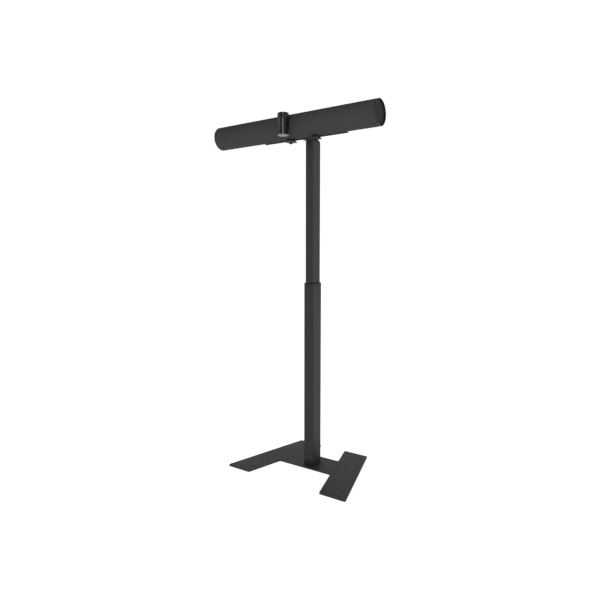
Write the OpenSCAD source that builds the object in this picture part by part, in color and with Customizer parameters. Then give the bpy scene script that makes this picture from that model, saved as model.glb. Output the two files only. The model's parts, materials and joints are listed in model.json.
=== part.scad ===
// Round fabric-covered bar on a telescopic floor stand.
// Millimetres, +Z up. The origin is on the floor, on the axis of the column.
// The bar lies along X and its front faces -Y.

/* [Floor plate] */
// Width across the front ends of the two arms
plate_front_w = 702; // [660:1:740]
// Width across the back ends of the two arms
plate_back_w = 432; // [400:1:480]
// Reach of the arms in front of the column axis
plate_front = 277; // [240:1:320]
// Reach of the arms behind the column axis
plate_back = 223; // [190:1:260]
// Width of one arm
arm_w = 140; // [120:1:160]
// Front edge of the bridge, in front of the column axis
bridge_front = 77; // [65:1:110]
// Back edge of the bridge, behind the column axis
bridge_back = 79; // [65:1:110]
// Thickness of the steel plate
plate_t = 8; // [6:0.5:10]
// Height of the rubber pads under the plate
pad_t = 2; // [1:0.5:3]

/* [Column] */
// Outer width of the lower tube, along X
lower_w = 57; // [54:0.5:64]
// Outer depth of the lower tube, along Y
lower_d = 80; // [79:0.5:84]
// Height of the top of the lower tube and its collar
lower_top = 972; // [900:1:1040]
// Outer width of the upper tube, along X
upper_w = 45.5; // [42:0.5:46]
// Outer depth of the upper tube, along Y
upper_d = 72; // [64:0.5:72.5]
// Height of the top of the upper tube at rest
upper_top = 1681; // [1600:1:1760]
// Height of the bottom of the upper tube at rest
upper_bottom = 684; // [640:1:740]
// Wall of both tubes
tube_wall = 2; // [1.5:0.1:2.2]
// Free gap between the sliding faces
slide_gap = 0.3; // [0.2:0.05:0.5]

/* [Head] */
// Length of the rail under the bar
rail_l = 485; // [400:5:560]
// Width of the rail
rail_w = 11; // [9:1:14]
// Distance from the bar's axis back to the front of the rail
rail_set = 9; // [8.5:0.5:11]
// How far the rail's folded front edge reaches down from the top of the plate
rail_lip_h = 4; // [4:0.5:7]
// Width of the plate's tail, from the rail back to the column
tail_w = 36; // [32:1:38]
// Thickness of the head plate
head_t = 3; // [2:0.5:4]
// Distance between the two thumbscrews
screw_pitch = 144; // [120:1:180]
// Width of a clamp lug, along X
lug_w = 44; // [32:1:54]
// Depth of a clamp lug, along Y
lug_d = 46; // [40:1:54]
// Thickness of a clamp lug
lug_t = 5; // [3:0.5:7]
// Height of the spacer between lug and rail
spacer_h = 5; // [4:0.5:9]

/* [Bar] */
// Length of the bar
bar_l = 945; // [820:5:1100]
// Outer diameter of the bar
bar_dia = 120; // [116:1:124]
// Distance from the column axis to the bar axis, to the front
bar_y = 92; // [86:1:100]
// Sideways place of the bar's middle
bar_x = -61.5; // [-90:0.5:0]
// Depth of the recess in front of each end disc
end_recess = 6; // [3:0.5:8]

/* [Post] */
// Outer radius of the post
post_r = 23.2; // [21:0.1:25]
// How far the flared head stands out from the post
head_flare = 4.8; // [3:0.1:5.2]
// How far the foot flange stands out from the post
foot_flare = 3.8; // [1:0.2:6]
// Gap between the post and the shell under the bar's fabric
post_gap = 0.3; // [0.2:0.1:4]
// Height of the post's lowest face above the bottom of the bar
post_low = 4; // [0:0.5:8]
// Height of the whole post
post_h = 105; // [103:1:116]
// Number of round ports in the head
port_count = 8; // [6:1:10]

/* [Hidden] */
speaker_count = 4;
speakers = [for (i = [1:speaker_count]) i];
function numbered(name) = [for (i = speakers) str(name, "_", i)];

$fn = 72;
over = 1;                               // how far a cutting tool runs past a face
arc_steps = 8;                          // flat steps in a rounded corner

paint = [0.13, 0.13, 0.135];
plastic = [0.09, 0.09, 0.095];
gloss = [0.05, 0.05, 0.055];
light_plastic = [0.55, 0.55, 0.56];
fabric = [0.22, 0.22, 0.225];
steel = [0.62, 0.63, 0.65];
brass = [0.75, 0.62, 0.3];
rubber = [0.06, 0.06, 0.06];
alloy = [0.7, 0.71, 0.73];
board_green = [0.08, 0.3, 0.16];
paper = [0.16, 0.15, 0.14];
ferrite = [0.2, 0.2, 0.21];

// Heights
plate_top = pad_t + plate_t;
foot_block_h = 14;
collar_h = 7;
lower_tube_top = lower_top - collar_h;
bush_depth = 60;
cap_h = 2;
plate_under = upper_top + cap_h;        // underside of the head plate
rail_top = plate_under + head_t;
bar_z = rail_top + bar_dia / 2;
lug_top = plate_under - spacer_h;
lug_under = lug_top - lug_t;

// Column sections
column_corner_r = 5;
inner_corner_r = column_corner_r - tube_wall;
lower_inner = [lower_w - 2 * tube_wall, lower_d - 2 * tube_wall];
upper_inner = [upper_w - 2 * tube_wall, upper_d - 2 * tube_wall];
press_gap = 0.1;                        // gap around a part that is pushed into a tube
glide_screw_z = lower_top - 21;
cap_plug_h = 24;
cap_socket_bottom = upper_top - cap_plug_h;
cap_socket_h = 9;
cap_stud_r = 5;
cap_inset = 1;

// Base screws
base_screw_r = 4;
base_screw_head_r = 8;
base_screw_sink = 4;                    // height of the cone under the head
base_screw_gap = 0.3;
base_screw_places = [for (x = [-15, 15], y = [-24, 24]) [x, y]];
rod_seat_r = 5;
rod_seat_floor = 3;                     // metal left under the rod's seat

// Gas spring
rod_r = 6;
rod_top = 900;
piston_h = 12;
cylinder_r = 14;
cylinder_bore_r = 12.5;
cylinder_bottom = 810;
cylinder_top = cap_socket_bottom - 9;
spring_fit = 0.05;

// Head
head_screw_places = [[0, -16], [0, 18]];
head_screw_r = 3;
head_screw_depth = 14;                  // depth of the threaded hole in the cap
head_button_r = 5.5;
head_button_h = 3;
rail_lip_rise = 0.5;                    // how far the folded edge stands above the plate
cover_wall_h = 5.5;                     // upright part of the cover over the tail
cover_top_h = 6;                        // part with the smaller outline above it
thumb_shaft_r = 2.5;
thumb_fit = 0.05;
thumb_hole_r = 2.9;
thumb_knob_r = 6;
thumb_knob_h = 8;
thumb_gap = 0.2;
thumb_places = [-screw_pitch / 2, screw_pitch / 2];
spacer_r = 8;
lug_pin_r = 2.8;
lug_pin_pitch = 26;
insert_r = 4.5;

// Bar
bar_r = bar_dia / 2;
bar_half = bar_l / 2;
sleeve_t = 1.4;
sleeve_inner_r = bar_r - sleeve_t;
shell_outer_r = sleeve_inner_r - 0.1;
shell_inner_r = shell_outer_r - 2.5;
rim_band = 5;                           // length of the rim that shows outside
rim_web = 11;                           // from the bar's end to the shell's end
rim_bore_r = bar_r - 3.2;
disc_t = 3;
spine_z = bar_z - bar_r + 10;
spine_t = 4;
spine_front = bar_y + 24;
spine_back = bar_y - 24;
baffle_t = 5;
baffle_front = bar_y + 24;
speaker_offsets = [-330, -125, 125, 330];
speaker_r = 44;
cone_r = 36;
basket_depth = 30;
inlet_r = 6;

// Post
post_y = bar_y + shell_outer_r + post_gap + post_r;
post_z = rail_top + post_low;
foot_t = 1.5;
foot_r = post_r + foot_flare;
head_r = post_r + head_flare;
head_h = 26;
head_wall = 3;
head_bottom = post_z + post_h - head_h;
post_wall = 2;
plug_r = post_r - post_wall - 0.1;      // parts pushed into the hollow post
neck_w = 34;
neck_h = 44;
neck_fit = 0.05;
neck_screw_r = 2;
neck_screw_depth = 16;
neck_screw_z = [bar_z - 15, bar_z + 15];
port_r = 6;
port_depth = 2;
port_z = post_z + post_h - 16;
port_angles = [for (i = [0:port_count - 1]) (i + 0.5) * 360 / port_count];

// ---- outlines ----

function unit(v) = v / norm(v);

// The arc that replaces corner p between its neighbours a and b
function corner_arc(a, p, b, r) =
    let (
        u = unit(a - p),
        w = unit(b - p),
        half = acos(u * w) / 2,
        centre = p + unit(u + w) * r / sin(half),
        start = p + u * r / tan(half) - centre,
        stop = p + w * r / tan(half) - centre,
        first = atan2(start.y, start.x),
        turn = atan2(stop.y, stop.x) - first,
        sweep = turn > 180 ? turn - 360 : turn < -180 ? turn + 360 : turn
    )
    [for (i = [0:arc_steps])
        let (t = first + sweep * i / arc_steps)
        centre + r * [cos(t), sin(t)]];

function rounded(points, r) =
    let (n = len(points))
    [for (i = [0:n - 1])
        each corner_arc(points[(i + n - 1) % n], points[i], points[(i + 1) % n], r)];

function mirrored(points) = [for (i = [len(points) - 1:-1:0]) [-points[i].x, points[i].y]];

function box_outline(w, d, r) =
    rounded([[-w / 2, -d / 2], [w / 2, -d / 2], [w / 2, d / 2], [-w / 2, d / 2]], r);

module prism(w, d, r, h) {
    linear_extrude(h) polygon(box_outline(w, d, r));
}

module hollow_prism(w, d, r, inner_w, inner_d, inner_r, h) {
    difference() {
        prism(w, d, r, h);
        translate([0, 0, -over]) prism(inner_w, inner_d, inner_r, h + 2 * over);
    }
}

// A cylinder along X that starts at x
module along_x(x, r, h) {
    translate([x, 0, 0]) rotate([0, 90, 0]) cylinder(r = r, h = h);
}

// A cylinder that runs from y to the front
module to_front(y, r, h) {
    translate([0, y, 0]) rotate([90, 0, 0]) cylinder(r = r, h = h);
}

// Puts its children on the bar's own axis and middle
module on_bar() {
    translate([bar_x, -bar_y, bar_z]) children();
}

module on_post() {
    translate([bar_x, -post_y, 0]) children();
}

// ---- floor plate ----

front_outer = plate_front_w / 2;
front_inner = front_outer - arm_w;
back_outer = plate_back_w / 2;
back_inner = back_outer - arm_w;
arm_slope = (back_inner - front_inner) / (plate_front + plate_back);
function arm_inner(y) = front_inner + arm_slope * (y + plate_front);
arm_middle_front = front_inner + arm_w / 2;

right_half = [
    [arm_inner(-bridge_front), -bridge_front],
    [front_inner, -plate_front],
    [front_outer, -plate_front],
    [back_outer, plate_back],
    [back_inner, plate_back],
    [arm_inner(bridge_back), bridge_back]
];
plate_corner_r = 7;

strip_w = 94;
strip_d = 4;
strip_t = 0.6;
strip_place = [280, -plate_front + 21];

module base_plate() {
    color(paint)
    difference() {
        translate([0, 0, pad_t])
            linear_extrude(plate_t)
                polygon(rounded(concat(right_half, mirrored(right_half)), plate_corner_r));
        for (p = base_screw_places) {
            translate([p.x, p.y, pad_t - over])
                cylinder(r = base_screw_r + base_screw_gap, h = plate_t + 2 * over);
            translate([p.x, p.y, pad_t])
                cylinder(r1 = base_screw_head_r + base_screw_gap,
                         r2 = base_screw_r + base_screw_gap, h = base_screw_sink);
        }
        translate([strip_place.x, strip_place.y, plate_top - strip_t])
            linear_extrude(strip_t + over)
                square([strip_w, strip_d], center = true);
    }
}

module floor_pads() {
    pad_inset = 30;
    middle_pad_r = 20;
    arm_pad_r = 22;
    color(rubber) {
        cylinder(r = middle_pad_r, h = pad_t);
        for (side = [-1, 1], y = [-plate_front + pad_inset, plate_back - pad_inset])
            translate([side * (arm_middle_front + arm_slope * (y + plate_front)), y, 0])
                cylinder(r = arm_pad_r, h = pad_t);
    }
}

module foot_strip() {
    color(gloss)
        translate([strip_place.x, strip_place.y, plate_top - strip_t])
            linear_extrude(strip_t)
                square([strip_w - 0.2, strip_d - 0.2], center = true);
}

module base_screws() {
    shank_r = base_screw_r - 0.1;
    shank_l = plate_t + foot_block_h - 3;
    key_r = 2.9;
    key_depth = 2.4;
    color(steel)
    for (p = base_screw_places)
        translate([p.x, p.y, pad_t + 0.2])
        difference() {
            union() {
                cylinder(r1 = base_screw_head_r, r2 = shank_r, h = base_screw_sink);
                cylinder(r = shank_r, h = shank_l);
            }
            translate([0, 0, -over]) cylinder(r = key_r, h = over + key_depth, $fn = 6);
        }
}

// ---- column ----

module column_foot() {
    color(steel)
    difference() {
        translate([0, 0, plate_top])
            prism(lower_inner.x - 2 * press_gap, lower_inner.y - 2 * press_gap, inner_corner_r,
                  foot_block_h);
        for (p = base_screw_places)
            translate([p.x, p.y, plate_top - over])
                cylinder(r = base_screw_r, h = foot_block_h + 2 * over);
        translate([0, 0, plate_top + rod_seat_floor])
            cylinder(r = rod_seat_r, h = foot_block_h);
    }
}

module lower_tube() {
    screw_hole_r = 2.2;
    color(paint)
    difference() {
        translate([0, 0, plate_top])
            hollow_prism(lower_w, lower_d, column_corner_r,
                         lower_inner.x, lower_inner.y, inner_corner_r,
                         lower_tube_top - plate_top);
        translate([0, 0, glide_screw_z]) along_x(-lower_w, screw_hole_r, 2 * lower_w);
        translate([0, 0, glide_screw_z]) to_front(lower_d, screw_hole_r, 2 * lower_d);
    }
}

// Collar on the rim of the lower tube, with the bush that guides the upper tube
module glide_collar() {
    inner = [upper_w + 2 * slide_gap, upper_d + 2 * slide_gap];
    lead = 1.2;
    color(plastic)
    difference() {
        union() {
            translate([0, 0, lower_tube_top])
                prism(lower_w, lower_d, column_corner_r, collar_h - lead);
            translate([0, 0, lower_top - lead])
                prism(lower_w - 2 * lead, lower_d - 2 * lead, column_corner_r - lead, lead);
            translate([0, 0, lower_tube_top - bush_depth])
                prism(lower_inner.x - 2 * press_gap, lower_inner.y - 2 * press_gap,
                      inner_corner_r, bush_depth);
        }
        translate([0, 0, lower_tube_top - bush_depth - over])
            prism(inner.x, inner.y, column_corner_r + slide_gap, bush_depth + collar_h + 2 * over);
    }
}

module glide_screw() {
    button_r = 3.4;
    button_t = 0.8;
    shank_r = 2;
    shank_l = tube_wall - 0.1;
    cylinder(r = button_r, h = button_t);
    translate([0, 0, -shank_l]) cylinder(r = shank_r, h = shank_l);
}

module glide_screws() {
    color(plastic)
    for (side = [-1, 1]) {
        translate([side * lower_w / 2, 0, glide_screw_z]) rotate([0, side * 90, 0]) glide_screw();
        translate([0, side * lower_d / 2, glide_screw_z]) rotate([-side * 90, 0, 0]) glide_screw();
    }
}

module spring_rod() {
    color(steel) {
        translate([0, 0, plate_top + rod_seat_floor])
            cylinder(r = rod_seat_r - press_gap, h = foot_block_h);
        translate([0, 0, plate_top + foot_block_h])
            cylinder(r = rod_r, h = rod_top - plate_top - foot_block_h);
        translate([0, 0, rod_top]) cylinder(r = cylinder_bore_r - spring_fit, h = piston_h);
    }
}

module upper_tube() {
    color(paint)
    translate([0, 0, upper_bottom])
        hollow_prism(upper_w, upper_d, column_corner_r,
                     upper_inner.x, upper_inner.y, inner_corner_r,
                     upper_top - upper_bottom);
}

// Plastic shoe around the bottom of the upper tube; it guides the tube inside the lower one
module slide_shoe() {
    shoe_h = 60;
    lip = 4;
    bore_gap = 3;
    color(plastic)
    difference() {
        translate([0, 0, upper_bottom - lip])
            prism(lower_inner.x - 2 * slide_gap, lower_inner.y - 2 * slide_gap, inner_corner_r,
                  shoe_h);
        translate([0, 0, upper_bottom])
            prism(upper_w + 2 * press_gap, upper_d + 2 * press_gap, column_corner_r, shoe_h);
        translate([0, 0, upper_bottom - lip - over])
            cylinder(r = cylinder_r + bore_gap, h = lip + 2 * over);
    }
}

module spring_cylinder() {
    guide_h = 15;
    end_h = 12;
    stud_r = cap_stud_r - press_gap;
    stud_h = cap_socket_bottom + cap_socket_h - 1 - cylinder_top;
    color(alloy)
    difference() {
        union() {
            translate([0, 0, cylinder_bottom])
                cylinder(r = cylinder_r, h = cylinder_top - cylinder_bottom);
            translate([0, 0, cylinder_top]) cylinder(r = stud_r, h = stud_h);
        }
        translate([0, 0, cylinder_bottom + guide_h])
            cylinder(r = cylinder_bore_r, h = cylinder_top - cylinder_bottom - guide_h - end_h);
        translate([0, 0, cylinder_bottom - over])
            cylinder(r = rod_r + spring_fit, h = guide_h + 2 * over);
    }
}

module column_cap() {
    color(plastic)
    difference() {
        union() {
            translate([0, 0, upper_top])
                prism(upper_w - 2 * cap_inset, upper_d - 2 * cap_inset, 3, cap_h);
            translate([0, 0, cap_socket_bottom])
                prism(upper_inner.x - 2 * press_gap, upper_inner.y - 2 * press_gap,
                      inner_corner_r, cap_plug_h);
        }
        translate([0, 0, cap_socket_bottom - over])
            cylinder(r = cap_stud_r, h = cap_socket_h + over);
        for (p = head_screw_places)
            translate([p.x, p.y, plate_under - head_screw_depth])
                cylinder(r = head_screw_r, h = head_screw_depth + over);
    }
}

// ---- head ----

tail_half = tail_w / 2;
tail_end = upper_d / 2 - 4.5;
rail_front = -bar_y + rail_set;
rail_back = rail_front + rail_w;
plate_bend_r = 3;
right_plate = [[tail_half, rail_back], [tail_half, tail_end]];
head_outline = rounded(
    concat([[rail_l / 2, rail_front], [rail_l / 2, rail_back]], right_plate,
           mirrored(right_plate), [[-rail_l / 2, rail_back], [-rail_l / 2, rail_front]]),
    plate_bend_r
);

// T-shaped plate behind the bar's lowest line, with its front edge folded down
module head_plate() {
    lip_l = rail_l - 2 * plate_bend_r;
    color(paint)
    difference() {
        union() {
            translate([0, 0, plate_under]) linear_extrude(head_t) polygon(head_outline);
            translate([-lip_l / 2, rail_front, rail_top - rail_lip_h])
                cube([lip_l, head_t, rail_lip_h + rail_lip_rise]);
        }
        for (p = head_screw_places)
            translate([p.x, p.y, plate_under - over])
                cylinder(r = head_screw_r + 0.2, h = head_t + 2 * over);
    }
}

module head_screws() {
    button_top_r = 4.5;
    key_r = 2;
    key_floor = 1.2;
    shank_l = head_t + head_screw_depth - 2;
    color(steel)
    for (p = head_screw_places)
        translate([p.x, p.y, rail_top]) {
            difference() {
                cylinder(r1 = head_button_r, r2 = button_top_r, h = head_button_h);
                translate([0, 0, key_floor]) cylinder(r = key_r, h = head_button_h, $fn = 6);
            }
            translate([0, 0, -shank_l]) cylinder(r = head_screw_r - press_gap, h = shank_l);
        }
}

// Moulded cover on the column that hides the tail and its screws
module tail_cover() {
    wall_inset = 1.5;
    top_inset = 4;
    fit = 0.2;
    color(plastic)
    difference() {
        translate([0, 0, plate_under]) {
            prism(upper_w - 2 * wall_inset, upper_d - 2 * wall_inset, 3, cover_wall_h);
            translate([0, 0, cover_wall_h])
                prism(upper_w - 2 * top_inset, upper_d - 2 * top_inset, 3, cover_top_h);
        }
        translate([-tail_half - fit, -upper_d, plate_under - over])
            cube([tail_w + 2 * fit, upper_d + tail_end + fit, head_t + over + fit]);
        for (p = head_screw_places)
            translate([p.x, p.y, rail_top - over])
                cylinder(r = head_button_r + 1, h = head_button_h + 1 + over);
    }
}

module clamp_lug(x) {
    color(paint)
    translate([x, -bar_y, lug_under])
    difference() {
        prism(lug_w, lug_d, 4, lug_t);
        translate([0, 0, -over]) cylinder(r = thumb_hole_r, h = lug_t + 2 * over);
    }
}

// A ring under the bar around each thumbscrew, and the pins that join each lug to the rail
module lug_spacers() {
    ring_h = rail_top - lug_top;
    pin_y = (rail_front + head_t + rail_back) / 2;
    color(steel)
    for (x = thumb_places) {
        translate([x, -bar_y, lug_top])
        difference() {
            cylinder(r = spacer_r, h = ring_h);
            translate([0, 0, -over]) cylinder(r = thumb_hole_r, h = ring_h + 2 * over);
        }
        for (side = [-1, 1])
            translate([x + side * lug_pin_pitch / 2, pin_y, lug_top])
                cylinder(r = lug_pin_r, h = spacer_h);
    }
}

module thumbscrew(x) {
    flutes = 10;
    flute_r = 1.1;
    shaft_top = spine_z + 6;
    knob_bottom = lug_under - thumb_gap - thumb_knob_h;
    color(steel)
    translate([x, -bar_y, knob_bottom]) {
        difference() {
            union() {
                cylinder(r1 = thumb_knob_r - 1, r2 = thumb_knob_r, h = 1);
                translate([0, 0, 1]) cylinder(r = thumb_knob_r, h = thumb_knob_h - 1);
            }
            for (i = [1:flutes])
                rotate([0, 0, i * 360 / flutes])
                    translate([thumb_knob_r + 0.5, 0, -over])
                        cylinder(r = flute_r, h = thumb_knob_h - 1 + over);
        }
        translate([0, 0, thumb_knob_h]) cylinder(r = thumb_shaft_r, h = shaft_top - lug_under);
    }
}

module thread_inserts() {
    flange_t = 3;
    insert_h = spine_z + spine_t + flange_t - rail_top;
    color(brass)
    for (x = thumb_places)
        translate([x, -bar_y, rail_top])
        difference() {
            union() {
                cylinder(r = insert_r, h = insert_h);
                translate([0, 0, insert_h - flange_t]) cylinder(r = insert_r + 2, h = flange_t);
            }
            translate([0, 0, -over])
                cylinder(r = thumb_shaft_r + thumb_fit, h = insert_h + 2 * over);
        }
}

// ---- bar ----

// The places where the inserts and the post's neck pass through the bar's wall
module bar_wall_cuts(clear) {
    for (x = thumb_places)
        translate([x, -bar_y, bar_z - bar_r - over])
            cylinder(r = insert_r + clear, h = bar_r / 2);
    translate([bar_x - neck_w / 2 - clear, -bar_y - bar_r - over, bar_z - neck_h / 2 - clear])
        cube([neck_w + 2 * clear, bar_r / 2, neck_h + 2 * clear]);
}

module bar_shell() {
    slot_w = 6;
    slot_h = 64;
    slot_pitch = 12;
    shell_half = bar_half - rim_web;
    color(alloy)
    difference() {
        on_bar() difference() {
            along_x(-shell_half, shell_outer_r, 2 * shell_half);
            along_x(-shell_half - over, shell_inner_r, 2 * shell_half + 2 * over);
            for (x = speaker_offsets, i = [-2.5:1:2.5])
                translate([x + i * slot_pitch - slot_w / 2, -bar_r - over, -slot_h / 2])
                    cube([slot_w, bar_r / 2, slot_h]);
        }
        bar_wall_cuts(0.2);
    }
}

module fabric_sleeve() {
    sleeve_half = bar_half - rim_band;
    color(fabric)
    difference() {
        on_bar() difference() {
            along_x(-sleeve_half, bar_r, 2 * sleeve_half);
            along_x(-sleeve_half - over, sleeve_inner_r, 2 * sleeve_half + 2 * over);
        }
        bar_wall_cuts(0.2);
        on_post() translate([0, 0, post_z]) cylinder(r = post_r + slide_gap, h = post_h - head_h);
    }
}

// The rim's section, with distances measured inwards from the bar's end
rim_section = [
    [rim_bore_r, 0], [bar_r - 0.8, 0], [bar_r, 0.8], [bar_r, rim_band],
    [shell_outer_r, rim_band], [shell_outer_r, rim_web], [shell_inner_r - 0.2, rim_web],
    [shell_inner_r - 0.2, rim_web + 13], [shell_inner_r - 3, rim_web + 13],
    [shell_inner_r - 3, end_recess + disc_t], [rim_bore_r, end_recess + disc_t]
];

// Stands its children on the bar's end; side is 1 on the right and -1 on the left
module at_bar_end(side) {
    on_bar()
        translate([side * bar_half, 0, 0])
            rotate([0, -side * 90, 0]) children();
}

module end_rim(side) {
    color(gloss) at_bar_end(side) rotate_extrude() polygon(rim_section);
}

module end_disc(side) {
    disc_r = rim_bore_r - 0.1;
    edge = 0.6;
    color(plastic)
    at_bar_end(side)
    difference() {
        translate([0, 0, end_recess]) {
            cylinder(r1 = disc_r - edge, r2 = disc_r, h = edge);
            translate([0, 0, edge]) cylinder(r = disc_r, h = disc_t - edge);
        }
        if (side < 0)
            translate([0, 0, end_recess - over]) cylinder(r = inlet_r, h = disc_t + 2 * over);
    }
}

module power_inlet() {
    inlet_l = 16;
    color(plastic)
    at_bar_end(-1)
    translate([0, 0, end_recess]) {
        difference() {
            cylinder(r = inlet_r - 0.1, h = inlet_l);
            translate([0, 0, -over]) cylinder(r = 2.8, h = inlet_l - 3 + over);
        }
        translate([0, 0, 2]) cylinder(r = 1, h = inlet_l - 4);
    }
}

spine_half = bar_half - rim_web - 18;

module chassis_spine() {
    color(alloy)
    difference() {
        translate([bar_x - spine_half, -spine_front, spine_z])
            cube([2 * spine_half, spine_front - spine_back, spine_t]);
        for (x = thumb_places)
            translate([x, -bar_y, spine_z - over])
                cylinder(r = insert_r + 0.1, h = spine_t + 2 * over);
    }
}

baffle_half_h = 46;

module baffle() {
    hole_r = cone_r + 3;
    color(plastic)
    difference() {
        translate([bar_x - spine_half, -baffle_front, spine_z + spine_t])
            cube([2 * spine_half, baffle_t, 2 * baffle_half_h]);
        for (x = speaker_offsets)
            translate([bar_x + x, -baffle_front + baffle_t + over, bar_z])
                to_front(0, hole_r, baffle_t + 2 * over);
        for (z = neck_screw_z)
            translate([bar_x, -baffle_front + baffle_t + over, z])
                to_front(0, neck_screw_r + press_gap, baffle_t + 2 * over);
    }
}

// Puts its children at a speaker's centre on the baffle's front face, +Z to the front
module at_speaker(i) {
    translate([bar_x + speaker_offsets[i - 1], -baffle_front, bar_z])
        rotate([90, 0, 0]) children();
}

module speaker_frame(i) {
    flange_t = 3;
    sheet_t = 1.5;
    basket_r = 38;
    basket_back_r = 24;
    back_hole_r = 10;
    window = [20, 14, basket_depth - 8];
    color(steel)
    at_speaker(i)
    difference() {
        rotate_extrude() polygon([
            [cone_r + 0.6, flange_t], [speaker_r, flange_t], [speaker_r, 0], [basket_r, 0],
            [basket_back_r, -basket_depth], [back_hole_r, -basket_depth],
            [back_hole_r, -basket_depth + sheet_t], [basket_back_r - 1, -basket_depth + sheet_t],
            [cone_r + 0.6, 0]
        ]);
        for (a = [0:90:270])
            rotate([0, 0, a + 45])
                translate([basket_back_r + 4, -window.y / 2, -basket_depth + 4]) cube(window);
    }
}

module speaker_cone(i) {
    cone_t = 1;
    coil_r = 9;
    color(paper)
    at_speaker(i)
        rotate_extrude() polygon([
            [cone_r, 2.6], [cone_r - 2, 3.6], [cone_r - 5, 2.6], [coil_r, -20], [0, -15],
            [0, -15 - cone_t], [coil_r - cone_t, -20 - cone_t], [coil_r - cone_t, -27],
            [coil_r, -27], [coil_r, -20 - cone_t], [cone_r - 4.5, 1.4], [cone_r, 1.4]
        ]);
}

module speaker_magnet(i) {
    magnet_r = 30;
    magnet_h = 18;
    color(ferrite)
    at_speaker(i)
        translate([0, 0, -basket_depth - magnet_h - 0.1]) {
            cylinder(r = magnet_r - 1.5, h = 3);
            translate([0, 0, 3]) cylinder(r = magnet_r, h = magnet_h - 6);
            translate([0, 0, magnet_h - 3]) cylinder(r = magnet_r - 1.5, h = 3);
        }
}

tray_y = bar_y - 31;                    // front distance of the tray's back wall
tray_x = [30, 400];
tray_z = [spine_z + spine_t, spine_z + spine_t + 80];
board_y = tray_y - 5;
board_t = 1.6;
board_h = 64;
board_z = bar_z - board_h / 2;
main_board_x = [40, 250];
power_board_x = [262, 392];
standoff_places = [
    for (range = [main_board_x, power_board_x], x = [range[0] + 6, range[1] - 6],
         z = [board_z + 5, board_z + board_h - 5])
        [x, z]
];

module electronics_tray() {
    sheet = 2;
    color(alloy)
    difference() {
        translate([bar_x + tray_x[0], -tray_y - sheet, 0]) {
            translate([0, 0, tray_z[0]]) cube([tray_x[1] - tray_x[0], sheet, tray_z[1] - tray_z[0]]);
            translate([0, sheet - 20, tray_z[0]]) cube([tray_x[1] - tray_x[0], 20, sheet]);
        }
        for (p = standoff_places)
            translate([bar_x + p.x, -tray_y + over, p.y]) to_front(0, 1.6, sheet + 2 * over);
    }
}

module board_standoffs() {
    color(brass)
    for (p = standoff_places)
        translate([bar_x + p.x, -board_y, p.y]) {
            to_front(0, 2.8, tray_y - board_y);
            to_front(0, 1.5, tray_y - board_y + 4);
        }
}

module circuit_board(range) {
    color(board_green)
        translate([bar_x + range[0], -board_y, board_z])
            cube([range[1] - range[0], board_t, board_h]);
}

module board_parts() {
    part_y = -board_y + board_t;
    chips = [[60, -22, 22, 22], [110, -18, 30, 30], [170, -20, 16, 16], [205, 2, 26, 14]];
    cans = [[285, -16, 6], [305, -16, 6], [325, -16, 6], [365, 10, 8]];
    color(plastic) {
        for (c = chips)
            translate([bar_x + c[0], part_y, bar_z + c[1]]) cube([c[2], 2.4, c[3]]);
        for (c = cans)
            translate([bar_x + c[0], part_y + 8, bar_z + c[1]]) to_front(0, c[2], 8);
    }
}

// ---- post ----

// Saddle between the baffle and the post, through the wall of the bar
module post_neck() {
    color(plastic)
    difference() {
        translate([bar_x - neck_w / 2, -post_y, bar_z - neck_h / 2])
            cube([neck_w, post_y - baffle_front, neck_h]);
        on_post() translate([0, 0, post_z]) cylinder(r = post_r + neck_fit, h = post_h);
        for (z = neck_screw_z)
            translate([bar_x, -baffle_front + over, z])
                to_front(0, neck_screw_r, neck_screw_depth + over);
    }
}

module neck_screws() {
    button_r = 3.6;
    button_h = 2.4;
    color(steel)
    for (z = neck_screw_z)
        translate([bar_x, -baffle_front + baffle_t, z]) {
            to_front(button_h, button_r, button_h);
            to_front(0, neck_screw_r - press_gap, baffle_t + neck_screw_depth - 4);
        }
}

module post_body() {
    color(gloss)
    on_post()
    translate([0, 0, post_z + foot_t])
    difference() {
        cylinder(r = post_r, h = head_bottom - post_z - foot_t);
        translate([0, 0, -over])
            cylinder(r = post_r - post_wall, h = head_bottom - post_z - foot_t + 2 * over);
    }
}

module post_foot() {
    plug_h = 8;
    color(light_plastic)
    on_post()
    translate([0, 0, post_z])
        rotate_extrude() polygon([
            [0, 0], [foot_r - 0.8, 0], [foot_r, 0.8], [foot_r, foot_t],
            [plug_r, foot_t], [plug_r, foot_t + plug_h], [0, foot_t + plug_h]
        ]);
}

module post_head() {
    taper_h = 6;
    spigot_h = 6;
    cavity_r = head_r - port_depth - head_wall;
    color(gloss)
    on_post()
    difference() {
        translate([0, 0, head_bottom])
            rotate_extrude() polygon([
                [plug_r - head_wall, -spigot_h], [plug_r, -spigot_h],
                [plug_r, 0], [post_r, 0], [head_r, taper_h],
                [head_r, head_h - 3], [head_r - 0.9, head_h - 0.9], [head_r - 3, head_h],
                [0, head_h], [0, head_h - head_wall], [cavity_r, head_h - head_wall],
                [cavity_r, taper_h + 2], [plug_r - head_wall, 2]
            ]);
        for (a = port_angles)
            rotate([0, 0, a]) translate([0, 0, port_z]) to_front(0, port_r, head_r + over);
    }
}

module port_lenses() {
    lens_t = 1.2;
    seat = head_r - port_depth - lens_t;
    color(gloss)
    on_post()
    for (a = port_angles)
        rotate([0, 0, a]) translate([0, 0, port_z]) to_front(-seat, port_r - press_gap, lens_t);
}

// Round board with one chip, inside the spigot under the ports
module sensor_board() {
    chip = [12, 12, 2];
    color(board_green)
    on_post()
    translate([0, 0, head_bottom]) {
        cylinder(r = plug_r - head_wall - press_gap, h = board_t);
        translate([-chip.x / 2, -chip.y / 2, board_t]) cube(chip);
    }
}

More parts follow.
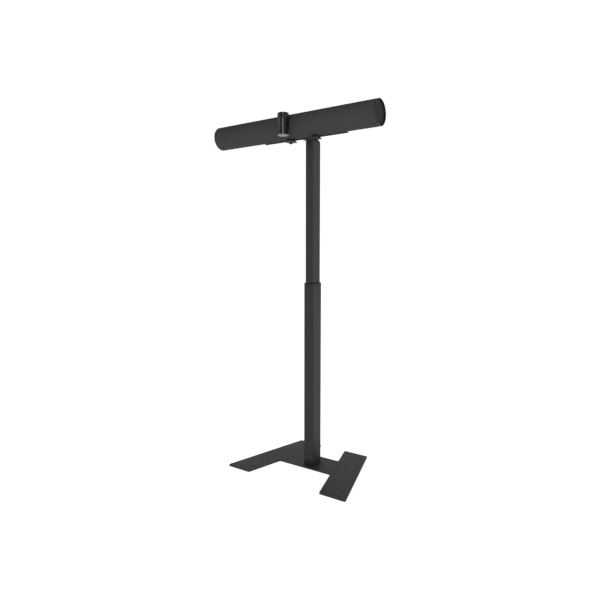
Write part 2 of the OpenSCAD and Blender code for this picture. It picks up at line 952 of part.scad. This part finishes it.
base_plate();
floor_pads();
foot_strip();
column_foot();
base_screws();
lower_tube();
glide_collar();
glide_screws();
spring_rod();
upper_tube();
slide_shoe();
spring_cylinder();
column_cap();
head_plate();
head_screws();
tail_cover();
clamp_lug(thumb_places[0]);  // clamp_lug_left
clamp_lug(thumb_places[1]);  // clamp_lug_right
lug_spacers();
thumbscrew(thumb_places[0]);  // thumbscrew_left
thumbscrew(thumb_places[1]);  // thumbscrew_right
thread_inserts();
bar_shell();
fabric_sleeve();
end_rim(-1);  // end_rim_left
end_rim(1);  // end_rim_right
end_disc(-1);  // end_disc_left
end_disc(1);  // end_disc_right
power_inlet();
chassis_spine();
baffle();
for (i = speakers) speaker_frame(i);
for (i = speakers) speaker_cone(i);
for (i = speakers) speaker_magnet(i);
electronics_tray();
board_standoffs();
circuit_board(main_board_x);  // main_board
circuit_board(power_board_x);  // power_board
board_parts();
post_neck();
neck_screws();
post_body();
post_foot();
post_head();
port_lenses();
sensor_board();
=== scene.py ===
"""Looks for a round fabric-covered bar on a telescopic floor stand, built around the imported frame."""
import json
import math

import bmesh
import bpy
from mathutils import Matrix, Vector


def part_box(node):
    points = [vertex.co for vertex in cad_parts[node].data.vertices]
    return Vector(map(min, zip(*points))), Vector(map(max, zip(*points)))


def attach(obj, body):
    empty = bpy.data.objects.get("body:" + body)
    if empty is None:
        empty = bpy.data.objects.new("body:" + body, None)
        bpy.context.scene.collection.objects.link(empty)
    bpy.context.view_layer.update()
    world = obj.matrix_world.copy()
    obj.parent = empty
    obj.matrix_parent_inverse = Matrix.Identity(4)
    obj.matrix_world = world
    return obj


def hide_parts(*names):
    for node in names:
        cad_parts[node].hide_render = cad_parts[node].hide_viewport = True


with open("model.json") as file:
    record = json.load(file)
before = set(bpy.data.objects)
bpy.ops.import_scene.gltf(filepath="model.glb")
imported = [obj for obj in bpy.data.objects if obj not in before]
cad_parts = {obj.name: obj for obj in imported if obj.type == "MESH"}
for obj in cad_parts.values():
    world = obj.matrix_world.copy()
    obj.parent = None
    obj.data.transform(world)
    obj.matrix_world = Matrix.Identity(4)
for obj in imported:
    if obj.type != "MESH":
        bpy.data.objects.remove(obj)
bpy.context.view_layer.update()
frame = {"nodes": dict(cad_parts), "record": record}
nodes = frame["nodes"]

TAU = 2 * math.pi
MM = 0.001

# Light from the walls behind and beside the object, from the wall in front and from the ceiling
WALL_LIGHT = 0.95
FRONT_LIGHT = 0.3
CEILING_LIGHT = 0.26
# How bright the empty backdrop looks
BACKDROP = 1.05
# Level direction from the object to the front wall
FRONT_WAY = (0.42, -0.91, 0)
# What the two front lights are aimed at: the post and the bar's middle
HEAD_POINT = (-0.06, -0.17, 1.74)

# Edges that turn more than this are sharp
SHARP_ANGLE = math.radians(28)
# Points closer than this are one point
WELD_DISTANCE = 0.002 * MM

# How far the sharp edges of the CAD nodes are broken
SOFT_EDGES = {
    "base_plate": 0.4 * MM,
    "glide_collar": 0.4 * MM,
    "column_cap": 0.4 * MM,
    "head_plate": 0.25 * MM,
    "tail_cover": 1.2 * MM,
    "clamp_lug_left": 0.5 * MM,
    "clamp_lug_right": 0.5 * MM,
    "thumbscrew_left": 0.25 * MM,
    "thumbscrew_right": 0.25 * MM,
    "end_rim_left": 0.3 * MM,
    "end_rim_right": 0.3 * MM,
    "end_disc_left": 0.2 * MM,
    "end_disc_right": 0.2 * MM,
    "post_foot": 0.3 * MM,
    "post_body": 0.2 * MM,
    "post_head": 0.3 * MM,
    "floor_pads": 0.3 * MM,
}


# ---- scene: camera, floor, light ----

def make_camera():
    """The camera stands to the right in front of the object, a little above half its height."""
    data = bpy.data.cameras.new("camera")
    data.sensor_width = 36
    data.lens = 29.59
    camera = bpy.data.objects.new("camera", data)
    camera.location = (1.3619, -2.1672, 1.1183)
    look_down = 5.302
    turn = 33.628
    camera.rotation_euler = (math.radians(90 - look_down), 0, math.radians(turn))
    bpy.context.collection.objects.link(camera)
    bpy.context.scene.camera = camera


def make_floor():
    """A plain white floor that gives back most of the light, so the base stands on pale ground."""
    half = 40
    mesh = bpy.data.meshes.new("floor")
    mesh.from_pydata([(-half, -half, 0), (half, -half, 0), (half, half, 0), (-half, half, 0)], [],
                     [(0, 1, 2, 3)])
    floor = bpy.data.objects.new("floor", mesh)
    floor.location.z = -0.3 * MM
    bpy.context.collection.objects.link(floor)
    g = Graph("floor_white")
    g.set(**{"Base Color": (0.5, 0.5, 0.5, 1), "Roughness": 0.9, "Specular IOR Level": 0.0,
             "Emission Color": (1, 1, 1, 1), "Emission Strength": 0.85})
    floor.data.materials.append(g.material)


def make_world():
    """A white room, lit mostly from behind and beside the object; the backdrop looks white all round."""
    world = bpy.data.worlds.new("studio")
    world.use_nodes = True
    bpy.context.scene.world = world
    tree = world.node_tree
    tree.nodes.clear()

    def add(kind, **settings):
        node = tree.nodes.new(kind)
        for name, value in settings.items():
            setattr(node, name, value)
        return node

    def ramp(source, first, last):
        """A level that runs from first to last; each is (where, level)."""
        node = add("ShaderNodeMapRange", interpolation_type="SMOOTHSTEP")
        for socket, value in zip((1, 2, 3, 4), (first[0], last[0], first[1], last[1])):
            node.inputs[socket].default_value = value
        tree.links.new(source, node.inputs[0])
        return node.outputs[0]

    place = add("ShaderNodeTexCoord").outputs["Generated"]
    split = add("ShaderNodeSeparateXYZ")
    tree.links.new(place, split.inputs[0])
    toward_front = add("ShaderNodeVectorMath", operation="DOT_PRODUCT")
    toward_front.inputs[1].default_value = FRONT_WAY
    tree.links.new(place, toward_front.inputs[0])
    walls = ramp(toward_front.outputs["Value"], (0.3, WALL_LIGHT), (0.75, FRONT_LIGHT))
    height = ramp(split.outputs["Z"], (0.5, 0.0), (0.72, 1.0))
    blend = add("ShaderNodeMix")
    blend.inputs[3].default_value = CEILING_LIGHT
    tree.links.new(height, blend.inputs[0])
    tree.links.new(walls, blend.inputs[2])
    background = add("ShaderNodeBackground")
    background.inputs["Color"].default_value = (1, 1, 1, 1)
    shown = add("ShaderNodeMix")
    shown.inputs[3].default_value = BACKDROP
    tree.links.new(add("ShaderNodeLightPath").outputs["Is Camera Ray"], shown.inputs[0])
    tree.links.new(blend.outputs[0], shown.inputs[2])
    tree.links.new(shown.outputs[0], background.inputs["Strength"])
    out = add("ShaderNodeOutputWorld")
    tree.links.new(background.outputs[0], out.inputs[0])


def make_light(name, place, target, size, power):
    """A soft box that isn't itself seen."""
    data = bpy.data.lights.new(name, "AREA")
    data.shape = "RECTANGLE"
    data.size, data.size_y = size
    data.energy = power
    light = bpy.data.objects.new(name, data)
    light.location = place
    light.rotation_euler = (Vector(target) - Vector(place)).to_track_quat("-Z", "Y").to_euler()
    light.visible_camera = False
    bpy.context.collection.objects.link(light)


# ---- materials ----

class Graph:
    """A material's node graph, with short ways to add nodes and to feed the Principled shader."""

    def __init__(self, name):
        self.material = bpy.data.materials.new(name)
        self.material.use_nodes = True
        self.tree = self.material.node_tree
        self.shader = self.tree.nodes["Principled BSDF"]

    def feed(self, socket, value):
        if isinstance(value, bpy.types.NodeSocket):
            self.tree.links.new(value, socket)
        else:
            socket.default_value = value

    def set(self, **inputs):
        for name, value in inputs.items():
            self.feed(self.shader.inputs[name], value)

    def add(self, kind, output, inputs, **settings):
        node = self.tree.nodes.new(kind)
        for name, value in settings.items():
            setattr(node, name, value)
        for key, value in inputs.items():
            self.feed(node.inputs[key], value)
        return node.outputs[output]

    def place(self):
        return self.add("ShaderNodeTexCoord", "Object", {})

    def math(self, operation, a, b=0.0):
        return self.add("ShaderNodeMath", 0, {0: a, 1: b}, operation=operation)

    def scaled(self, vector, factors):
        return self.add("ShaderNodeVectorMath", 0, {0: vector, 1: factors}, operation="MULTIPLY")

    def noise(self, place, scale, detail=2.0, rough=0.5):
        return self.add("ShaderNodeTexNoise", "Fac",
                        {"Vector": place, "Scale": scale, "Detail": detail, "Roughness": rough})

    def spread(self, value, low, high, from_low=0.3, from_high=0.7):
        """value carried from its own range to low..high."""
        return self.add("ShaderNodeMapRange", 0,
                        {0: value, 1: from_low, 2: from_high, 3: low, 4: high})

    def mix(self, share, dark, light):
        """A colour between dark and light; sockets 6 and 7 are the node's two colours."""
        return self.add("ShaderNodeMix", 2, {0: share, 6: dark, 7: light}, data_type="RGBA")

    def bump(self, height, depth, strength=1.0):
        return self.add("ShaderNodeBump", 0, {"Height": height, "Distance": depth, "Strength": strength})

    def edge(self, radius):
        """1 on sharp outer and inner edges, 0 on flat faces."""
        round_normal = self.add("ShaderNodeBevel", 0, {"Radius": radius}, samples=4)
        flat_normal = self.add("ShaderNodeNewGeometry", "Normal", {})
        match = self.add("ShaderNodeVectorMath", "Value", {0: round_normal, 1: flat_normal},
                         operation="DOT_PRODUCT")
        return self.spread(match, 1.0, 0.0, 0.86, 0.995)


def grey(level):
    return (level, level, level * 1.02, 1)


def powder_coat(name, level):
    """Baked powder paint: a fine orange peel, faint clouding and edges rubbed a little lighter."""
    g = Graph(name)
    place = g.place()
    clouds = g.noise(place, 14, 3)
    specks = g.noise(place, 1900, 1)
    peel = g.noise(place, 620, 2, 0.6)
    body = g.mix(g.spread(clouds, 0, 1), grey(level * 0.9), grey(level * 1.12))
    body = g.mix(g.spread(specks, 0, 0.25, 0.55, 0.75), body, grey(level * 1.9))
    worn = g.edge(1.2 * MM)
    g.set(**{"Base Color": g.mix(g.math("MULTIPLY", worn, 0.15), body, grey(level * 2.2)),
             "Roughness": g.spread(g.noise(place, 60, 3), 0.50, 0.60),
             "Specular IOR Level": 0.3,
             "Normal": g.bump(peel, 0.05 * MM, 0.5)})
    return g.material


def moulded(name, level, roughness, grain=0.03, shine=0.4):
    """Moulded plastic with a spark-eroded grain."""
    g = Graph(name)
    place = g.place()
    fine = g.noise(place, 1500, 2, 0.7)
    clouds = g.noise(place, 30, 3)
    g.set(**{"Base Color": g.mix(g.spread(clouds, 0, 1), grey(level * 0.92), grey(level * 1.1)),
             "Roughness": g.spread(g.noise(place, 90, 3), roughness - 0.04, roughness + 0.05),
             "Specular IOR Level": shine,
             "Normal": g.bump(fine, grain * MM, 0.6)})
    return g.material


def polished(name, level, roughness, shine=0.5):
    """Polished plastic: almost flat, with faint wiping marks in its gloss."""
    g = Graph(name)
    place = g.place()
    wiped = g.noise(g.scaled(place, (1, 1, 0.15)), 260, 3, 0.6)
    ripple = g.noise(place, 90, 1)
    clouds = g.noise(place, 25, 2)
    g.set(**{"Base Color": g.mix(g.spread(clouds, 0, 1), grey(level * 0.9), grey(level * 1.15)),
             "Roughness": g.spread(wiped, roughness, roughness + 0.06),
             "Specular IOR Level": shine,
             "Normal": g.bump(ripple, 0.01 * MM, 0.5)})
    return g.material


def brushed(name, colour, roughness, along=(1, 1, 30)):
    """Metal with fine drawing or turning lines; along says how the lines are stretched."""
    g = Graph(name)
    lines = g.noise(g.scaled(g.place(), along), 300, 3, 0.6)
    dark = tuple(c * 0.85 for c in colour) + (1,)
    g.set(**{"Base Color": g.mix(g.spread(lines, 0, 1), dark, tuple(colour) + (1,)),
             "Metallic": 1.0,
             "Roughness": g.spread(lines, roughness - 0.06, roughness + 0.08),
             "Normal": g.bump(lines, 0.01 * MM, 0.4)})
    return g.material


def coloured(name, dark, light, roughness, scale, bump_mm, stretch=(1, 1, 1)):
    """A plain coloured solid, such as paper, board or ferrite, with its own grain."""
    g = Graph(name)
    place = g.scaled(g.place(), stretch)
    grain = g.noise(place, scale, 4, 0.65)
    g.set(**{"Base Color": g.mix(g.spread(grain, 0, 1), dark + (1,), light + (1,)),
             "Roughness": g.spread(g.noise(place, scale / 5, 2), roughness - 0.06, roughness + 0.06),
             "Normal": g.bump(grain, bump_mm * MM, 0.6)})
    return g.material


def woven(name, level, pitch):
    """Plain weave on a UV map in metres: threads pass over and under, each with its own tone, and the
    hollows between the threads get painted shade.
    """
    g = Graph(name)
    uv = g.add("ShaderNodeUVMap", 0, {}, uv_map="weave")
    split = g.tree.nodes.new("ShaderNodeSeparateXYZ")
    g.tree.links.new(uv, split.inputs[0])
    across = g.math("SINE", g.math("MULTIPLY", split.outputs["X"], math.pi / pitch))
    along = g.math("SINE", g.math("MULTIPLY", split.outputs["Y"], math.pi / pitch))
    over = g.math("MULTIPLY", across, along)
    warp_on_top = g.spread(over, 0, 1, -0.12, 0.12)
    warp = g.math("MULTIPLY", g.math("ABSOLUTE", across), warp_on_top)
    weft = g.math("MULTIPLY", g.math("ABSOLUTE", along), g.math("SUBTRACT", 1.0, warp_on_top))
    height = g.math("ADD", warp, weft)
    warp_shade = g.noise(g.scaled(uv, (1 / pitch, 0.06 / pitch, 1)), 1, 1)
    weft_shade = g.noise(g.scaled(uv, (0.06 / pitch, 1 / pitch, 1)), 1, 1)
    yarn = g.add("ShaderNodeMix", 0, {0: warp_on_top, 2: weft_shade, 3: warp_shade})
    patches = g.noise(uv, 120, 3)
    tone = g.math("ADD", g.math("MULTIPLY", yarn, 0.55), g.math("MULTIPLY", patches, 0.45))
    body = g.mix(g.spread(tone, 0, 1, 0.36, 0.64), grey(level * 0.72), grey(level * 1.35))
    # The low places between the threads are painted near black: painted shade in the weave's hollows
    painted_gap_shade = g.spread(height, 0.35, 1, 0.0, 0.5)
    g.set(**{"Base Color": g.mix(painted_gap_shade, grey(level * 0.15), body),
             "Roughness": g.spread(g.noise(uv, 400, 2), 0.86, 0.96),
             "Specular IOR Level": 0.1,
             "Normal": g.bump(height, 0.25 * MM, 0.55)})
    return g.material


materials = {
    "black_paint": powder_coat("black_paint", 0.018),
    "black_plastic": moulded("black_plastic", 0.010, 0.62, 0.03, 0.15),
    "gloss_black": polished("gloss_black", 0.006, 0.2, 0.3),
    "foot_plastic": moulded("foot_plastic", 0.18, 0.45, 0.01, 0.2),
    "pad_rubber": moulded("pad_rubber", 0.022, 0.8, 0.06, 0.2),
    "screw_steel": brushed("screw_steel", (0.55, 0.56, 0.58), 0.3),
    "knob_steel": moulded("knob_steel", 0.008, 0.45, 0.01, 0.25),
    "alloy": brushed("alloy", (0.72, 0.73, 0.75), 0.34, (30, 1, 1)),
    "basket_steel": powder_coat("basket_steel", 0.03),
    "cone_paper": coloured("cone_paper", (0.035, 0.033, 0.031), (0.06, 0.057, 0.053), 0.85, 900, 0.05),
    "magnet_iron": coloured("magnet_iron", (0.07, 0.07, 0.075), (0.13, 0.13, 0.135), 0.6, 700, 0.03),
    "insert_brass": brushed("insert_brass", (0.78, 0.6, 0.25), 0.28),
    "bar_fabric": woven("bar_fabric", 0.046, 1.1 * MM),
    "baffle_board": coloured("baffle_board", (0.15, 0.10, 0.06), (0.26, 0.18, 0.11), 0.75, 500, 0.04,
                             (0.2, 1, 1)),
    "circuit_board": coloured("circuit_board", (0.01, 0.08, 0.03), (0.02, 0.15, 0.06), 0.3, 160, 0.02),
    "component_plastic": moulded("component_plastic", 0.025, 0.55, 0.01),
    "lens_glass": polished("lens_glass", 0.006, 0.03),
}


# ---- pieces ----

def grid_lines(start, stop, step, kept):
    """Values from start to stop about a step apart, with every kept value among them."""
    count = round((stop - start) / step)
    even = [start + (stop - start) * i / count for i in range(count + 1)]
    kept = sorted(kept)
    free = [v for v in even if all(abs(v - k) > 0.4 * step for k in kept)]
    return sorted(set(free + kept + [start, stop]))


def sheet_mesh(name, xs, angles, place, is_open, uv_radius):
    """A tube of quads along X with its texture map in metres; is_open says which quads are left out."""
    bm = bmesh.new()
    uv_layer = bm.loops.layers.uv.new("weave")
    around = angles[:-1]
    rows = [[bm.verts.new(place(x, a)) for a in around] for x in xs]
    for i in range(len(xs) - 1):
        for j in range(len(around)):
            if is_open((xs[i] + xs[i + 1]) / 2, (angles[j] + angles[j + 1]) / 2):
                continue
            k = (j + 1) % len(around)
            face = bm.faces.new((rows[i][j], rows[i + 1][j], rows[i + 1][k], rows[i][k]))
            face.smooth = True
            corners = ((i, j), (i + 1, j), (i + 1, j + 1), (i, j + 1))
            for loop, (row, column) in zip(face.loops, corners):
                loop[uv_layer].uv = (xs[row], angles[column] * uv_radius)
    loose = [v for v in bm.verts if not v.link_faces]
    bmesh.ops.delete(bm, geom=loose, context="VERTS")
    bmesh.ops.recalc_face_normals(bm, faces=bm.faces)
    mesh = bpy.data.meshes.new(name)
    bm.to_mesh(mesh)
    bm.free()
    piece = bpy.data.objects.new(name, mesh)
    bpy.context.collection.objects.link(piece)
    return piece


def fabric_cover():
    """The bar's woven cover: seam along the back, ends and openings turned inwards."""
    low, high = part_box("fabric_sleeve")
    radius = (high.z - low.z) / 2
    middle_y = (low.y + high.y) / 2
    middle_z = (low.z + high.z) / 2
    nap = 0.1 * MM
    seam_half = 1.8 * MM
    seam_lip = 0.5 * MM
    seam_groove = 0.7 * MM
    hem = 1.5 * MM
    hem_drop = 0.8 * MM

    neck_low, neck_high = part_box("post_neck")
    clear = 0.2 * MM
    neck_x = (neck_low.x - clear, neck_high.x + clear)
    neck_half_angle = math.asin(((neck_high.z - neck_low.z) / 2 + clear) / radius)
    neck_a = (math.pi - neck_half_angle, math.pi + neck_half_angle)

    hole_half = 4.7 * MM
    holes = [neck_x + neck_a]
    for screw in ("thumbscrew_left", "thumbscrew_right"):
        screw_low, screw_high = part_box(screw)
        x = (screw_low.x + screw_high.x) / 2
        down = 1.5 * math.pi
        holes.append((x - hole_half, x + hole_half, down - hole_half / radius, down + hole_half / radius))

    end_rows = [d * MM for d in (0.3, 0.7, 1.5)]
    kept_x = [low.x + d for d in end_rows] + [high.x - d for d in end_rows]
    seam_edge = seam_half / radius
    kept_a = [seam_edge / 2, seam_edge, 2 * seam_edge]
    kept_a += [TAU - a for a in kept_a]
    for x0, x1, a0, a1 in holes:
        kept_x += [x0 - hem, x0, x1, x1 + hem]
        kept_a += [a0 - hem / radius, a0, a1, a1 + hem / radius]
    xs = grid_lines(low.x, high.x, 6 * MM, kept_x)
    angles = grid_lines(0, TAU, TAU / 180, kept_a)

    def inside(x, a, hole):
        slack = 1e-7
        x0, x1, a0, a1 = hole
        return x0 - slack <= x <= x1 + slack and a0 - slack <= a <= a1 + slack

    def place(x, a):
        """The cover's surface: (y, z) starts at the back and runs over the top to the front."""
        r = radius - nap
        to_end = min(x - low.x, high.x - x)
        if to_end < hem:
            r -= hem_drop * (1 - to_end / hem) ** 2
        if any(inside(x, a, hole) for hole in holes):
            r -= hem_drop
        to_seam = min(a, TAU - a)
        if to_seam < seam_edge / 4:
            r -= seam_groove
        elif to_seam < 1.5 * seam_edge:
            r += seam_lip
        return Vector((x, middle_y + r * math.cos(a), middle_z + r * math.sin(a)))

    def is_open(x, a):
        return any(inside(x, a, hole) for hole in holes)

    cover = sheet_mesh("bar_cover", xs, angles, place, is_open, radius)
    thickness = cover.modifiers.new("thickness", "SOLIDIFY")
    thickness.thickness = 0.9 * MM
    thickness.offset = -1
    cover.data.materials.append(materials["bar_fabric"])
    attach(cover, "mast")
    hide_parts("fabric_sleeve")


def smooth_piece(name):
    """The CAD node, shaded smooth and with its triangles joined along their edges."""
    piece = nodes[name]
    for face in piece.data.polygons:
        face.use_smooth = True
    weld = piece.modifiers.new("weld", "WELD")
    weld.merge_threshold = WELD_DISTANCE
    return piece


def add_flat_shading(piece):
    """Lets the large flat faces set the normals, so the shading doesn't bend across them."""
    normals = piece.modifiers.new("normals", "WEIGHTED_NORMAL")
    normals.weight = 100
    normals.keep_sharp = True


def soften(name, width):
    """Breaks the sharp edges of a CAD node, as pressing, moulding or paint does."""
    piece = smooth_piece(name)
    edges = piece.modifiers.new("soft_edges", "BEVEL")
    edges.width = width
    edges.segments = 2
    edges.limit_method = "ANGLE"
    edges.angle_limit = SHARP_ANGLE
    add_flat_shading(piece)


def smooth_corners(name):
    """Shades the rounded corners of a tube as round and its walls as flat, without moving anything."""
    piece = smooth_piece(name)
    split = piece.modifiers.new("split", "EDGE_SPLIT")
    split.split_angle = SHARP_ANGLE
    add_flat_shading(piece)


def dress_frame():
    """Gives every CAD node the material of its slot."""
    for part in frame["record"]["subparts"]:
        mesh = nodes[part["node"]].data
        mesh.materials.clear()
        mesh.materials.append(materials[part["material_slot"]])


bpy.context.scene.view_settings.view_transform = "Standard"
make_floor()
make_world()
make_camera()
make_light("front_box", (0.8, -2.6, 1.45), HEAD_POINT, (0.8, 1.6), 7)
make_light("high_box", (1.15, -2.4, 2.35), HEAD_POINT, (1.1, 0.5), 18)
make_light("side_box", (2.7, 0.5, 1.2), (0, 0, 1.0), (1.2, 1.6), 5)
dress_frame()
fabric_cover()
for name, width in SOFT_EDGES.items():
    soften(name, width)
for name in ("lower_tube", "upper_tube"):
    smooth_corners(name)
